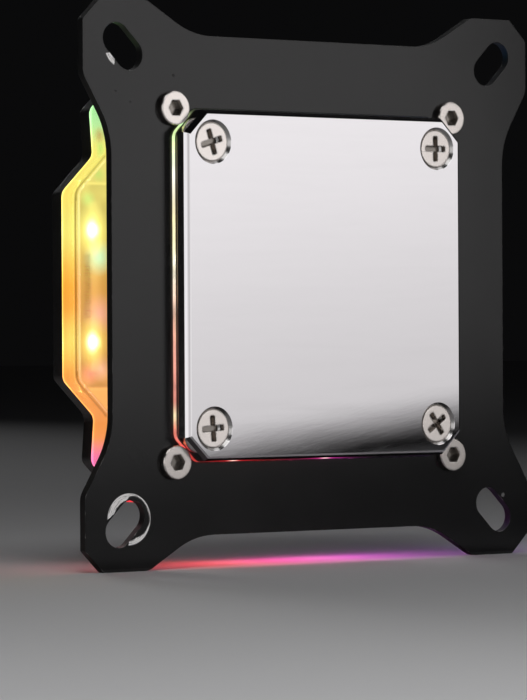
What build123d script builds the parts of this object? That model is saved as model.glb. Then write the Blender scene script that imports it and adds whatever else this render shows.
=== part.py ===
"""Water block for a computer processor: cold plate, clear lit body, bracket and back cover.

The block is drawn as it hangs in a tower computer. X runs across, Z runs up and Y runs from the
contact face towards the back. The origin is the middle of the contact face.
"""
import os
from math import sqrt

from build123d import *

# Depths of the stack, from the contact face to the back
plate_thickness = 2.95
bracket_setback = 3.75
bracket_thickness = 1.5
body_thickness = 12.6
wing_thickness = 5.0
cover_thickness = 4.0

# Cold plate
plate_rim_width = 0.32
plate_rim_depth = 0.15
plate_bevel_width = 0.42
plate_bevel_depth = 0.75
fin_count = 32
fin_thickness = 0.5
fin_slot = 0.5
fin_length = 32.0
fin_height = 2.2

# Cross-slotted screws that clamp the stack
plate_screw_seal_wall = 2.25
plate_screw_edge = 0.91
plate_screw_corner_edge = 0.39
plate_screw_sink_diameter = 7.3
plate_screw_head_diameter = 6.2
plate_screw_lip = 0.15
plate_screw_engagement = 2.7
cross_span = 4.3
cross_width = 0.95
cross_depth = 1.4
cross_turns = {"top_left": 17.0, "top_right": 0.0, "bottom_left": 4.0, "bottom_right": 35.0}

# Screws that hold the bracket
bracket_screw_head_diameter = 5.6
bracket_screw_head_height = 1.1
bracket_screw_length = 8.0
bracket_screw_edge_break = 0.15
hex_across_flats = 2.5
hex_depth = 1.3
hex_turns = {"top_left": 0.0, "top_right": 0.0, "bottom_left": 6.0, "bottom_right": 0.0}

# Thread sizes shared by the screws, holes and inserts
screw_diameter = 3.0
screw_hole_diameter = 3.4
insert_diameter = 4.2
insert_length = 6.0
insert_sink = 0.2

# Bracket
slot_pattern_small = 75.0
slot_pattern_large = 80.0
slot_width = 5.2
bracket_waist = 82.2
lobe_margin = 6.55
lobe_corner_cut = 3.6
lobe_shoulder = 4.65
lobe_flank_run = 9.2
lobe_inner_radius = 14.0
lobe_outer_radius = 3.0
lobe_corner_radius = 0.6

# Raised boss of the body, which the bracket's window goes round
boss_margin = 0.2
boss_corner_margin = 0.1
boss_corner_radius = 2.0

# Clear body and its four lit wings
body_margin = 6.4
body_flare = 0.6
body_corner_cut = 6.8
wing_reach = 6.1
wing_end_wall = 0.99
wing_radius = 2.0
wing_edge_break = 0.4

# Water path in the body
chamber_radius = 6.0
ring_width = 3.0
ring_depth = 3.4
plenum_width = 6.0
plenum_margin = 1.0
link_width = 8.0
port_wall = 0.7
port_floor_lift = 0.3
port_thread_diameter = 11.445
port_thread_depth = 8.0
port_passage_diameter = 9.0
port_boss_diameter = 20.0
outlet_overlap = 1.0
outlet_ring_reach = 1.0

# Seal, flow gasket and jet plate
seal_wall = 2.6
seal_radius = 10.0
seal_groove_width = 1.8
seal_groove_depth = 1.2
seal_edge_radius = 0.4
gasket_thickness = 0.8
gasket_slot_width = 3.2
jet_thickness = 0.6
jet_margin = 0.5
jet_slot_width = 1.6
jet_slot_end = 3.75

# Light boards in the wings
board_end_room = 0.95
board_width = 4.6
board_thickness = 1.0
board_inset = 5.4
board_back_room = 1.1
led_size = 2.0
led_height = 0.9
led_window = 1.5
led_window_depth = 0.1
led_end_room = 7.6
led_from_board_centre = 1.2
led_slot_end_room = 3.8
led_slot_extra = 0.2
pad_width = 3.6
pad_gap = 0.4
jumper_width = 2.0
jumper_thickness = 0.6
jumper_wall = 0.6

# Socket for the lighting lead
socket_length = 8.2
socket_width = 4.0
socket_wall = 0.6
socket_floor = 1.2
socket_recess = 0.3
pin_size = 0.64
pin_pitch = 2.54
pin_height = 2.8

# Back cover
cover_inset = 0.4
cover_edge_break = 0.6
cover_hole_extra = 0.35

# Clearances
thread_clearance = 0.02
insert_clearance = 0.02
seat_clearance = 0.03
window_clearance = 0.1
seal_clearance = 0.05
board_clearance = 0.2
port_clearance = 0.2
socket_clearance = 0.2
corner_match = 0.01

# Depths that follow from the sizes above
boss_front = plate_thickness
bracket_back = bracket_setback + bracket_thickness
body_front = bracket_back
body_back = body_front + body_thickness
wing_front = body_back - wing_thickness
cover_back = body_back + cover_thickness
fin_back = plate_thickness + fin_height
gasket_back = fin_back + gasket_thickness
jet_back = gasket_back + jet_thickness
ring_back = jet_back + ring_depth
inlet_floor = ring_back + port_wall
plenum_back = inlet_floor + port_floor_lift
outlet_floor = ring_back - outlet_overlap
port_thread_floor = cover_back - port_thread_depth
board_back = body_back - board_back_room
board_front = board_back - board_thickness
led_front = board_front - led_height
seal_groove_floor = boss_front + seal_groove_depth
insert_front = body_front + insert_sink
bracket_screw_tip = bracket_setback + bracket_screw_length
insert_floor = max(insert_front + insert_length, bracket_screw_tip) + insert_sink
plate_screw_tip = body_back + plate_screw_engagement
socket_back = cover_back - socket_recess

# Widths of the water path, the seal round it and the screws outside the seal
fin_pitch = fin_thickness + fin_slot
fin_field = fin_count * fin_pitch - fin_slot
jet_width = max(fin_length, fin_field) + 2 * jet_margin
jet_slot_length = fin_field - 2 * jet_slot_end
plenum_length = jet_slot_length + 2 * plenum_margin
chamber_width = jet_width + 2 * ring_width
port_spacing = jet_width + 2 * outlet_ring_reach - port_passage_diameter
groove_inner = chamber_width + 2 * seal_wall
groove_outer = groove_inner + 2 * seal_groove_width
groove_outer_radius = seal_radius + seal_groove_width / 2
groove_inner_radius = seal_radius - seal_groove_width / 2
groove_reach = groove_outer / sqrt(2) - (sqrt(2) - 1) * groove_outer_radius
plate_screw_reach = groove_reach + plate_screw_seal_wall + screw_hole_diameter / 2
plate_screw_spacing = plate_screw_reach * sqrt(2)

# Widths of the plate, the boss and the bracket round them
plate_slope = plate_rim_width + plate_bevel_width
plate_width = plate_screw_spacing + plate_screw_sink_diameter + 2 * (plate_screw_edge + plate_slope)
plate_reach = plate_screw_reach + plate_screw_sink_diameter / 2 + plate_screw_corner_edge + plate_slope
plate_corner_cut = plate_width - plate_reach * sqrt(2)
boss_width = plate_width + 2 * boss_margin
boss_reach = plate_reach + boss_corner_margin
boss_corner_cut = boss_width - boss_reach * sqrt(2)
head_reach = boss_reach + window_clearance
bracket_screw_spacing = (head_reach + bracket_screw_head_diameter / 2) * sqrt(2)
window_width = boss_width + 2 * window_clearance
window_corner_cut = window_width - head_reach * sqrt(2)
slot_spacing = (slot_pattern_small + slot_pattern_large) / 2
slot_travel = abs(slot_pattern_large - slot_pattern_small) / 2 * sqrt(2)
bracket_width = max(slot_pattern_small, slot_pattern_large) + 2 * lobe_margin

# Widths of the body, its wings and the light boards in them
body_width = bracket_screw_spacing + 2 * body_margin
wing_edge = body_width / 2 + wing_reach
board_centre = wing_edge - board_inset
channel_width = jumper_width + 2 * board_clearance
jumper_line = plate_screw_reach + screw_hole_diameter / 2 + jumper_wall + channel_width / 2
jumper_middle = jumper_line / sqrt(2)
jumper_reach = 2 * jumper_middle - board_centre
jumper_length = (board_centre - jumper_reach) * sqrt(2)
board_length = 2 * (jumper_reach + board_end_room)
pocket_length = board_length + 2 * board_clearance
pocket_width = board_width + 2 * board_clearance
pocket_to_edge = board_inset - pocket_width / 2
wing_flat = pocket_length + 2 * (wing_end_wall * sqrt(2) - pocket_to_edge)
led_line = board_centre + led_from_board_centre
led_pitch = board_length - 2 * led_end_room
led_slot_width = led_size + 2 * board_clearance
led_slot_length = led_pitch + led_size + 2 * led_slot_end_room
pad_start = socket_length / 2 + pad_gap
pad_end = jumper_reach - jumper_width / sqrt(8) - pad_gap

CORNERS = {
    "top_left": (-1, 1),
    "top_right": (1, 1),
    "bottom_left": (-1, -1),
    "bottom_right": (1, -1),
}
SIDE_TURNS = {"right": 0, "top": 90, "left": 180, "bottom": 270}
JUMPER_CORNERS = ["top_left", "top_right", "bottom_right"]


def slab(outline, front, back):
    """A sketch drawn as the viewer sees it, given depth from front to back."""
    return extrude(Plane.XZ.offset(-front) * outline, amount=front - back)


def side_slab(outline, side, front, back):
    """A sketch drawn for the right-hand side, turned to the named side."""
    return slab(Rot(0, 0, SIDE_TURNS[side]) * outline, front, back)


def bar(outline_x, outline_z, diameter, front, back):
    """A round bar or hole along Y."""
    return slab(Pos(outline_x, outline_z) * Circle(diameter / 2), front, back)


def cone(centre_x, centre_z, front_diameter, back_diameter, front, back):
    """A cone along Y."""
    place = Plane((centre_x, (front + back) / 2, centre_z), z_dir=(0, 1, 0))
    return place * Cone(front_diameter / 2, back_diameter / 2, back - front)


def corner_points(spacing):
    """Middle of each of the four corners of a square pattern."""
    return {name: (x * spacing / 2, z * spacing / 2) for name, (x, z) in CORNERS.items()}


def at_corners(outline, spacing):
    """The same sketch repeated on the four corners of a square pattern."""
    return Sketch() + [Pos(x, z) * outline for x, z in corner_points(spacing).values()]


def square(width):
    """A plain square outline."""
    return Rectangle(width, width)


def cut_square(width, cut):
    """A square outline with its four corners cut off at 45 degrees."""
    half = width / 2
    inner = half - cut
    points = [
        (half, -inner), (half, inner), (inner, half), (-inner, half),
        (-half, inner), (-half, -inner), (-inner, -half), (inner, -half),
    ]
    return make_face(Polyline(*points, close=True))


def inset_square(width, cut, inset):
    """The outline that lies the inset inside a cut square, all the way round."""
    return cut_square(width - 2 * inset, cut - (2 - sqrt(2)) * inset)


def slope(front_outline, back_outline, front, back):
    """A sloping band from one outline to another."""
    ends = [Plane.XZ.offset(-front) * front_outline, Plane.XZ.offset(-back) * back_outline]
    return loft(ends, ruled=True)


def all_quarters(points):
    """The given points turned to the four quarters of the block, in order round it."""
    return [Vector(*point).rotate(Axis.Z, 90 * quarter) for quarter in range(4) for point in points]


def rounded(outline, radius):
    """An outline with all of its corners rounded."""
    return fillet(outline.vertices(), radius)


def round_corners(outline, points, radius):
    """Rounds the corners of an outline that lie on the given points, in all four quarters."""
    spots = all_quarters(points)
    chosen = []
    for vertex in outline.vertices():
        nearest = min((vertex.center() - spot).length for spot in spots)
        if nearest < corner_match:
            chosen.append(vertex)
    return fillet(chosen, radius)


def rounded_ring(outer_width, inner_width, outer_radius, inner_radius):
    """A ring between two rounded squares."""
    outer = RectangleRounded(outer_width, outer_width, outer_radius)
    return outer - RectangleRounded(inner_width, inner_width, inner_radius)


def jumper_outline(corner, width):
    """A strip across a corner, from one light board to the next."""
    x, z = CORNERS[corner]
    place = Pos(x * jumper_middle, z * jumper_middle) * Rot(0, 0, -45 * x * z)
    return place * Rectangle(jumper_length, width)


# Cold plate: bevelled front, screw seats and a field of fins behind the chip
plate_outline = cut_square(plate_width, plate_corner_cut)
bevel_outline = inset_square(plate_width, plate_corner_cut, plate_bevel_width)
face_outline = inset_square(plate_width, plate_corner_cut, plate_slope)
bevel_back = plate_rim_depth + plate_bevel_depth
cold_plate = slope(face_outline, bevel_outline, 0, plate_rim_depth)
cold_plate += slope(bevel_outline, plate_outline, plate_rim_depth, bevel_back)
cold_plate += slab(plate_outline, bevel_back, plate_thickness)
sink_depth = (plate_screw_sink_diameter - screw_hole_diameter) / 2
for hole_x, hole_z in corner_points(plate_screw_spacing).values():
    cold_plate -= cone(hole_x, hole_z, plate_screw_sink_diameter, screw_hole_diameter, 0, sink_depth)
    cold_plate -= bar(hole_x, hole_z, screw_hole_diameter, 0, plate_thickness)
for fin in range(fin_count):
    fin_z = fin * fin_pitch + fin_thickness / 2 - fin_field / 2
    cold_plate += slab(Pos(0, fin_z) * Rectangle(fin_length, fin_thickness), plate_thickness, fin_back)

# Plate screws: sunk cone heads with a cross recess, long enough to reach the back cover
cone_front = (plate_screw_sink_diameter - plate_screw_head_diameter) / 2 - seat_clearance
cone_back = cone_front + (plate_screw_head_diameter - screw_diameter) / 2
head_front = cone_front - plate_screw_lip
cross_arm = RectangleRounded(cross_span, cross_width, cross_width / 4)
cross_middle = Rot(0, 0, 45) * square(cross_width * sqrt(2))
cross = cross_arm + Rot(0, 0, 90) * cross_arm + cross_middle
plate_screws = []
for corner, (screw_x, screw_z) in corner_points(plate_screw_spacing).items():
    screw = bar(screw_x, screw_z, plate_screw_head_diameter, head_front, cone_front)
    screw += cone(screw_x, screw_z, plate_screw_head_diameter, screw_diameter, cone_front, cone_back)
    screw += bar(screw_x, screw_z, screw_diameter, cone_back, plate_screw_tip)
    turned_cross = Pos(screw_x, screw_z) * Rot(0, 0, cross_turns[corner]) * cross
    screw -= slab(turned_cross, head_front, head_front + cross_depth)
    plate_screws.append(screw)

# Seal ring squeezed between the plate and its groove in the boss
seal_groove = rounded_ring(groove_outer, groove_inner, groove_outer_radius, groove_inner_radius)
seal_outline = rounded_ring(
    groove_outer - 2 * seal_clearance,
    groove_inner + 2 * seal_clearance,
    groove_outer_radius - seal_clearance,
    groove_inner_radius + seal_clearance,
)
plate_seal = slab(seal_outline, boss_front, seal_groove_floor)
seal_faces = plate_seal.faces().sort_by(Axis.Y)
plate_seal = fillet(seal_faces[0].edges() + seal_faces[-1].edges(), seal_edge_radius)

# Flow gasket on the fin tips and the jet plate above it
gasket_outline = Rectangle(fin_length, fin_field) - Rectangle(gasket_slot_width, plenum_length)
flow_gasket = slab(gasket_outline, fin_back, gasket_back)
jet_plate = slab(square(jet_width) - Rectangle(jet_slot_width, jet_slot_length), gasket_back, jet_back)

# Clear body: boss, block, four wings and two port bosses
wing_root = wing_flat / 2 + wing_reach
flare_edge = body_width / 2 + body_flare
corner_start = flare_edge - body_corner_cut
flare_points = [
    (body_width / 2, -wing_root), (body_width / 2, wing_root),
    (flare_edge, corner_start), (corner_start, flare_edge),
]
block_outline = make_face(Polyline(*all_quarters(flare_points), close=True))
wing_points = [
    (0, -wing_root), (body_width / 2, -wing_root), (wing_edge, -wing_flat / 2),
    (wing_edge, wing_flat / 2), (body_width / 2, wing_root), (0, wing_root),
]
wing_outline = make_face(Polyline(*wing_points, close=True))
winged_outline = block_outline + [Rot(0, 0, turn) * wing_outline for turn in SIDE_TURNS.values()]
winged_outline = rounded(winged_outline, wing_radius)
inlet_x = -port_spacing / 2
outlet_x = port_spacing / 2
boss_outline = rounded(cut_square(boss_width, boss_corner_cut), boss_corner_radius)
acrylic_body = slab(boss_outline, boss_front, body_front)
acrylic_body += slab(rounded(block_outline, wing_radius), body_front, wing_front + wing_edge_break)
wings = slab(winged_outline, wing_front, body_back)
acrylic_body += chamfer(wings.faces().sort_by(Axis.Y)[0].edges(), wing_edge_break)
for port_x in (inlet_x, outlet_x):
    acrylic_body += bar(port_x, 0, port_boss_diameter, body_back, cover_back)

# Chamber, collecting ring, inlet plenum and the two ports
chamber_outline = RectangleRounded(chamber_width, chamber_width, chamber_radius)
acrylic_body -= slab(chamber_outline, boss_front, jet_back)
acrylic_body -= slab(chamber_outline - square(jet_width), jet_back, ring_back)
acrylic_body -= slab(Rectangle(plenum_width, plenum_length), jet_back, plenum_back)
acrylic_body -= slab(Pos(inlet_x / 2, 0) * Rectangle(port_spacing / 2, link_width), jet_back, plenum_back)
acrylic_body -= bar(inlet_x, 0, port_passage_diameter, inlet_floor, cover_back)
acrylic_body -= bar(outlet_x, 0, port_passage_diameter, outlet_floor, cover_back)
for port_x in (inlet_x, outlet_x):
    acrylic_body -= bar(port_x, 0, port_thread_diameter, port_thread_floor, cover_back)

# Seal groove, screw holes and insert holes
acrylic_body -= slab(seal_groove, boss_front, seal_groove_floor)
screw_holes = at_corners(Circle(screw_hole_diameter / 2), plate_screw_spacing)
insert_holes = at_corners(Circle(insert_diameter / 2), bracket_screw_spacing)
acrylic_body -= slab(screw_holes, boss_front, body_back)
acrylic_body -= slab(insert_holes, body_front, insert_floor)

# Board pockets, lamp slots and the diagonal channels between the boards
pocket = Rectangle(pocket_width, pocket_length)
lamp_slot = Rectangle(led_slot_width, led_slot_length)
for side in SIDE_TURNS:
    acrylic_body -= side_slab(Pos(board_centre, 0) * pocket, side, board_front, body_back)
    acrylic_body -= side_slab(Pos(led_line, 0) * lamp_slot, side, led_front - led_slot_extra, board_front)
for corner in JUMPER_CORNERS:
    acrylic_body -= slab(jumper_outline(corner, channel_width), board_back, body_back)

# Threaded inserts and the bracket's screws
insert_ring = Circle(insert_diameter / 2 - insert_clearance) - Circle(screw_diameter / 2 + thread_clearance)
insert_rings = at_corners(insert_ring, bracket_screw_spacing)
bracket_inserts = slab(insert_rings, insert_front, insert_front + insert_length)
head_top = bracket_setback - bracket_screw_head_height
hexagon = RegularPolygon(hex_across_flats / 2, 6, major_radius=False)
bracket_screws = []
for corner, (screw_x, screw_z) in corner_points(bracket_screw_spacing).items():
    screw = bar(screw_x, screw_z, bracket_screw_head_diameter, head_top, bracket_setback)
    screw = chamfer(screw.faces().sort_by(Axis.Y)[0].edges(), bracket_screw_edge_break)
    screw += bar(screw_x, screw_z, screw_diameter, bracket_setback, bracket_screw_tip)
    turned_hexagon = Pos(screw_x, screw_z) * Rot(0, 0, hex_turns[corner]) * hexagon
    screw -= slab(turned_hexagon, head_top, head_top + hex_depth)
    bracket_screws.append(screw)

# Bracket: four lobes with diagonal slots round the window for the boss
half_width = bracket_width / 2
half_waist = bracket_waist / 2
lobe_flat_start = slot_spacing / 2 - lobe_shoulder
lobe_flat_end = half_width - lobe_corner_cut
flank_foot = lobe_flat_start - lobe_flank_run
lobe_feet = [(half_waist, flank_foot), (flank_foot, half_waist)]
lobe_shoulders = [(half_width, lobe_flat_start), (lobe_flat_start, half_width)]
lobe_corners = [(half_width, lobe_flat_end), (lobe_flat_end, half_width)]
lobe_path = [
    lobe_feet[0], lobe_shoulders[0], lobe_corners[0],
    lobe_corners[1], lobe_shoulders[1], lobe_feet[1],
]
bracket_outline = make_face(Polyline(*all_quarters(lobe_path), close=True))
bracket_outline = round_corners(bracket_outline, lobe_feet, lobe_inner_radius)
bracket_outline = round_corners(bracket_outline, lobe_shoulders, lobe_outer_radius)
bracket_outline = round_corners(bracket_outline, lobe_corners, lobe_corner_radius)
window = rounded(cut_square(window_width, window_corner_cut), boss_corner_radius + window_clearance)
bracket_outline -= window
bracket_outline -= at_corners(Circle(screw_hole_diameter / 2), bracket_screw_spacing)
for corner, (slot_x, slot_z) in corner_points(slot_spacing).items():
    slot_turn = 45 * CORNERS[corner][0] * CORNERS[corner][1]
    slot = Rot(0, 0, slot_turn) * SlotCenterToCenter(slot_travel, slot_width)
    bracket_outline -= Pos(slot_x, slot_z) * slot
mounting_bracket = slab(bracket_outline, bracket_setback, bracket_back)

# Light boards, lamps, pads and jumpers
board_outline = Pos(board_centre, 0) * Rectangle(board_width, board_length)
led_steps = [-led_pitch / 2, led_pitch / 2]
led_outline = Sketch() + [Pos(led_line, step) * square(led_size) for step in led_steps]
led_eyes = Sketch() + [Pos(led_line, step) * Circle(led_window / 2) for step in led_steps]
pad_middle = (pad_start + pad_end) / 2
pad_steps = [-pad_middle, pad_middle]
pad = Rectangle(pad_width, pad_end - pad_start)
pad_outline = Sketch() + [Pos(board_centre, step) * pad for step in pad_steps]
boards = {}
lamps = {}
board_pads = []
for side in SIDE_TURNS:
    boards[side] = side_slab(board_outline, side, board_front, board_back)
    lamps[side] = side_slab(led_outline, side, led_front, board_front)
    lamps[side] -= side_slab(led_eyes, side, led_front, led_front + led_window_depth)
    board_pads.append(side_slab(pad_outline, side, board_back, body_back))
led_jumpers = []
for corner in JUMPER_CORNERS:
    strip = jumper_outline(corner, jumper_width)
    led_jumpers.append(slab(strip, board_back, board_back + jumper_thickness))

# Socket for the lighting lead on the top board
socket_place = Pos(0, board_centre)
socket_mouth = Rectangle(socket_length - 2 * socket_wall, socket_width - 2 * socket_wall)
socket_opening = Rectangle(socket_length + 2 * socket_clearance, socket_width + 2 * socket_clearance)
pin_front = board_back + socket_floor
led_socket = slab(socket_place * Rectangle(socket_length, socket_width), board_back, socket_back)
led_socket -= slab(socket_place * socket_mouth, pin_front, socket_back)
pin_outline = Sketch() + [Pos(step * pin_pitch, board_centre) * square(pin_size) for step in (-1, 0, 1)]
socket_pins = slab(pin_outline, pin_front, pin_front + pin_height)

# Back cover: follows the wings, lets the port bosses and the socket through, takes the plate screws
tapped_diameter = screw_diameter + 2 * thread_clearance
back_cover = slab(offset(winged_outline, -cover_inset), body_back, cover_back)
back_cover = chamfer(back_cover.faces().sort_by(Axis.Y)[-1].edges(), cover_edge_break)
for port_x in (inlet_x, outlet_x):
    back_cover -= bar(port_x, 0, port_boss_diameter + 2 * port_clearance, body_back, cover_back)
back_cover -= slab(socket_place * socket_opening, body_back, cover_back)
for hole_x, hole_z in corner_points(plate_screw_spacing).values():
    back_cover -= bar(hole_x, hole_z, tapped_diameter, body_back, plate_screw_tip + cover_hole_extra)

nodes = {
    "cold_plate": cold_plate,
    "plate_screws": Compound(children=plate_screws),
    "plate_seal": plate_seal,
    "flow_gasket": flow_gasket,
    "jet_plate": jet_plate,
    "acrylic_body": acrylic_body,
    "bracket_inserts": bracket_inserts,
    "mounting_bracket": mounting_bracket,
    "bracket_screws": Compound(children=bracket_screws),
    "led_jumpers": Compound(children=led_jumpers),
    "board_pads": Compound(children=board_pads),
    "led_socket": led_socket,
    "socket_pins": socket_pins,
    "back_cover": back_cover,
}
for side in SIDE_TURNS:
    nodes["led_board_" + side] = boards[side]
    nodes["leds_" + side] = lamps[side]

os.makedirs("parts", exist_ok=True)
for name, shape in nodes.items():
    export_step(shape, os.path.join("parts", name + ".step"))
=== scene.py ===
"""Finishes for a lit water block: its plate, bracket, clear body, lamps and back, with a studio round it.

Objects are in metres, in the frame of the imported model: X across, Y from the contact face to the back
and Z up. The finishes work in millimetres, which they take from the Object coordinates.
"""
import math

import bpy
from mathutils import Matrix, Vector


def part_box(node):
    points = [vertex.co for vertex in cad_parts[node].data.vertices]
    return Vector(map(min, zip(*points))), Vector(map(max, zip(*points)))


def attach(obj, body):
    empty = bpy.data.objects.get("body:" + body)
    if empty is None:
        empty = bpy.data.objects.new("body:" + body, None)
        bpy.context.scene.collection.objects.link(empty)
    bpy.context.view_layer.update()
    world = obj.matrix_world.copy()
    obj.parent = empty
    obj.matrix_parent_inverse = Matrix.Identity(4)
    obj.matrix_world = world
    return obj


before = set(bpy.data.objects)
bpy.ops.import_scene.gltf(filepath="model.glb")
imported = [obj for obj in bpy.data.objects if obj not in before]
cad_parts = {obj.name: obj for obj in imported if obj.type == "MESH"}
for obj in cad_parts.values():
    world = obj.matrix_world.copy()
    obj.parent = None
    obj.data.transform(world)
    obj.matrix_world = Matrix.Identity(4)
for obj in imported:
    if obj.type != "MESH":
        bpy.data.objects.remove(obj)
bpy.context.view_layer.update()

bl_info = {
    "name": "Water block finishes",
    "version": (1, 0, 0),
    "blender": (4, 5, 0),
    "location": "3D View > Sidebar > Water block",
    "description": "Gives the water block its finishes, lamp lenses, studio and camera",
    "category": "Object",
}

MM = 0.001
TURN = 2.0 * math.pi
SIDES = ("left", "right", "top", "bottom")

# Sizes of the pieces that their boxes don't give, in millimetres
BEVEL_WIDTH = 0.85
# Where the painted dark line of shade runs on the bevel, in from the plate's edge
BEVEL_SHADE_LINE = 0.42
HEAD_RADIUS = 3.1
SEAT_RADIUS = 3.7
SLOT_MIDDLE = 38.75
WING_THICK = 5.0
WING_BREAK = 0.4
PORT_MIDDLE = 13.0
PORT_RADIUS = 5.72
PORT_PITCH = 1.337
PORT_DEPTH = 8.0

# Edges and depths of the pieces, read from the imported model, in millimetres
PLATE_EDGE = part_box("cold_plate")[1].x / MM
PLATE_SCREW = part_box("plate_screws")[1].x / MM - HEAD_RADIUS
BRACKET_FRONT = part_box("mounting_bracket")[0].y / MM
BOSS_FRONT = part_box("acrylic_body")[0].y / MM
BODY_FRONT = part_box("mounting_bracket")[1].y / MM
BODY_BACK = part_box("back_cover")[0].y / MM
WING_FRONT = BODY_BACK - WING_THICK
PORT_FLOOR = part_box("back_cover")[1].y / MM - PORT_DEPTH
BOARD_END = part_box("led_board_right")[1].z / MM
LAMP_LOW, LAMP_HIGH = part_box("leds_right")
LAMP_SIZE = LAMP_HIGH.x - LAMP_LOW.x
LAMP_LINE = (LAMP_LOW.x + LAMP_HIGH.x) / 2 / MM
LAMP_STEP = (LAMP_HIGH.z - LAMP_SIZE / 2) / MM
# The floor's height, in metres: the block stands on its bracket
FLOOR_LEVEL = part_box("mounting_bracket")[0].z

# Where the clear body's outer surfaces begin, in millimetres out from the middle. At a cut corner it is
# the sum of the distances across and up
WING_SKIN = 40.8
WING_ROOT = 35.5
FLANK_SKIN, FLANK_CORNER = 34.8, 55.8
CORNER_SKIN = 64.2
BOSS_SKIN, BOSS_CORNER = 28.9, 53.2

# Depth of fine grain in a bump, in metres
GRAIN_DEPTH = 0.03 * MM
# A Mix node's sockets for colours, which share their names with others
MIX_SHARE, MIX_FIRST, MIX_SECOND, MIX_RESULT = 0, 6, 7, 2


class Graph:
    """Adds nodes to one node tree and joins their sockets."""

    def __init__(self, tree):
        self.tree = tree
        self.step = 0

    def feed(self, socket, value):
        """Links a socket to another one or sets its value. A colour is given as red, green and blue."""
        if isinstance(value, bpy.types.NodeSocket):
            self.tree.links.new(value, socket)
        elif socket.type == "RGBA":
            socket.default_value = (*value, 1.0)
        else:
            socket.default_value = value

    def node(self, kind, inputs=None, **settings):
        made = self.tree.nodes.new(kind)
        made.location = (200 * (self.step % 12), -260 * (self.step // 12))
        self.step += 1
        for name, value in settings.items():
            setattr(made, name, value)
        for key, value in (inputs or {}).items():
            self.feed(made.inputs[key], value)
        return made

    def math(self, operation, first, second=0.0):
        return self.node("ShaderNodeMath", {0: first, 1: second}, operation=operation).outputs[0]

    def chain(self, operation, first, *others):
        """Joins any number of values by one operation."""
        for other in others:
            first = self.math(operation, first, other)
        return first

    def add(self, *values):
        return self.chain("ADD", *values)

    def times(self, *values):
        return self.chain("MULTIPLY", *values)

    def most(self, *values):
        return self.chain("MAXIMUM", *values)

    def minus(self, first, second):
        return self.math("SUBTRACT", first, second)

    def unless(self, mask):
        """One where the mask is nothing, and the other way round."""
        return self.minus(1.0, mask)

    def vector(self, operation, first, second=(0.0, 0.0, 0.0)):
        made = self.node("ShaderNodeVectorMath", {0: first, 1: second}, operation=operation)
        return made.outputs["Value" if operation in ("LENGTH", "DISTANCE", "DOT_PRODUCT") else "Vector"]

    def fade(self, value, start, end, low=0.0, high=1.0):
        """A smooth change from low to high as the value goes from start to end."""
        parts = {"Value": value, "From Min": start, "From Max": end, "To Min": low, "To Max": high}
        made = self.node("ShaderNodeMapRange", parts, interpolation_type="SMOOTHSTEP", clamp=True)
        return made.outputs["Result"]

    def past(self, value, edge, width):
        """One where the value is past the edge, after a soft step of this width."""
        return self.fade(value, edge, edge + width)

    def short_of(self, value, edge, width):
        """One where the value is short of the edge, then a soft step of this width down to nothing."""
        return self.fade(value, edge, edge + width, 1.0, 0.0)

    def near(self, value, centre, width):
        """One where the value is at the centre, falling smoothly to nothing at the width."""
        return self.short_of(self.math("ABSOLUTE", self.minus(value, centre)), 0.0, width)

    def noise(self, place, scale, detail=3.0, roughness=0.55):
        parts = {"Vector": place, "Scale": scale, "Detail": detail, "Roughness": roughness}
        return self.node("ShaderNodeTexNoise", parts).outputs["Fac"]

    def stretch(self, place, scale):
        return self.node("ShaderNodeMapping", {"Vector": place, "Scale": scale}).outputs["Vector"]

    def stretched_noise(self, place, scale, detail, roughness=0.55):
        """Noise whose scale differs from axis to axis."""
        return self.noise(self.stretch(place, scale), 1.0, detail, roughness)

    def axes(self, place):
        return self.node("ShaderNodeSeparateXYZ", {"Vector": place}).outputs

    def join(self, x, y, z):
        return self.node("ShaderNodeCombineXYZ", {"X": x, "Y": y, "Z": z}).outputs["Vector"]

    def share_of_turn(self, across, up):
        """The direction of a point seen from the front, as a share of a turn from straight right."""
        return self.math("DIVIDE", self.math("ARCTAN2", up, across), TURN)

    def blend(self, share, first, second, mode="MIX"):
        parts = {MIX_SHARE: share, MIX_FIRST: first, MIX_SECOND: second}
        return self.node("ShaderNodeMix", parts, data_type="RGBA", blend_type=mode).outputs[MIX_RESULT]

    def ramp(self, value, stops):
        made = self.node("ShaderNodeValToRGB", {"Fac": value})
        bar = made.color_ramp
        bar.elements[0].position, bar.elements[1].position = stops[0][0], stops[-1][0]
        bar.elements[0].color, bar.elements[1].color = (*stops[0][1], 1.0), (*stops[-1][1], 1.0)
        for position, colour in stops[1:-1]:
            bar.elements.new(position).color = (*colour, 1.0)
        return made.outputs["Color"]

    def group(self, tree, inputs):
        return self.node("ShaderNodeGroup", inputs, node_tree=tree).outputs

    def own_place(self):
        return self.node("ShaderNodeTexCoord").outputs["Object"]

    def millimetres(self):
        return self.stretch(self.own_place(), (1.0 / MM,) * 3)

    def flattened(self, place):
        """The place without its depth, so that a pattern goes straight through."""
        return self.vector("MULTIPLY", place, (1.0, 0.0, 1.0))

    def tilted(self, place, degrees):
        """The place turned about the depth axis, so that a pattern runs askew."""
        parts = {"Vector": place, "Axis": (0.0, 1.0, 0.0), "Angle": math.radians(degrees)}
        return self.node("ShaderNodeVectorRotate", parts, rotation_type="AXIS_ANGLE").outputs["Vector"]

    def rounded(self, radius):
        """The normal with edges rounded to a radius in millimetres."""
        return self.node("ShaderNodeBevel", {"Radius": radius * MM}, samples=4).outputs["Normal"]

    def bumped(self, height, strength, distance=GRAIN_DEPTH, normal=None):
        parts = {"Height": height, "Strength": strength, "Distance": distance}
        if normal is not None:
            parts["Normal"] = normal
        return self.node("ShaderNodeBump", parts).outputs["Normal"]


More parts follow.
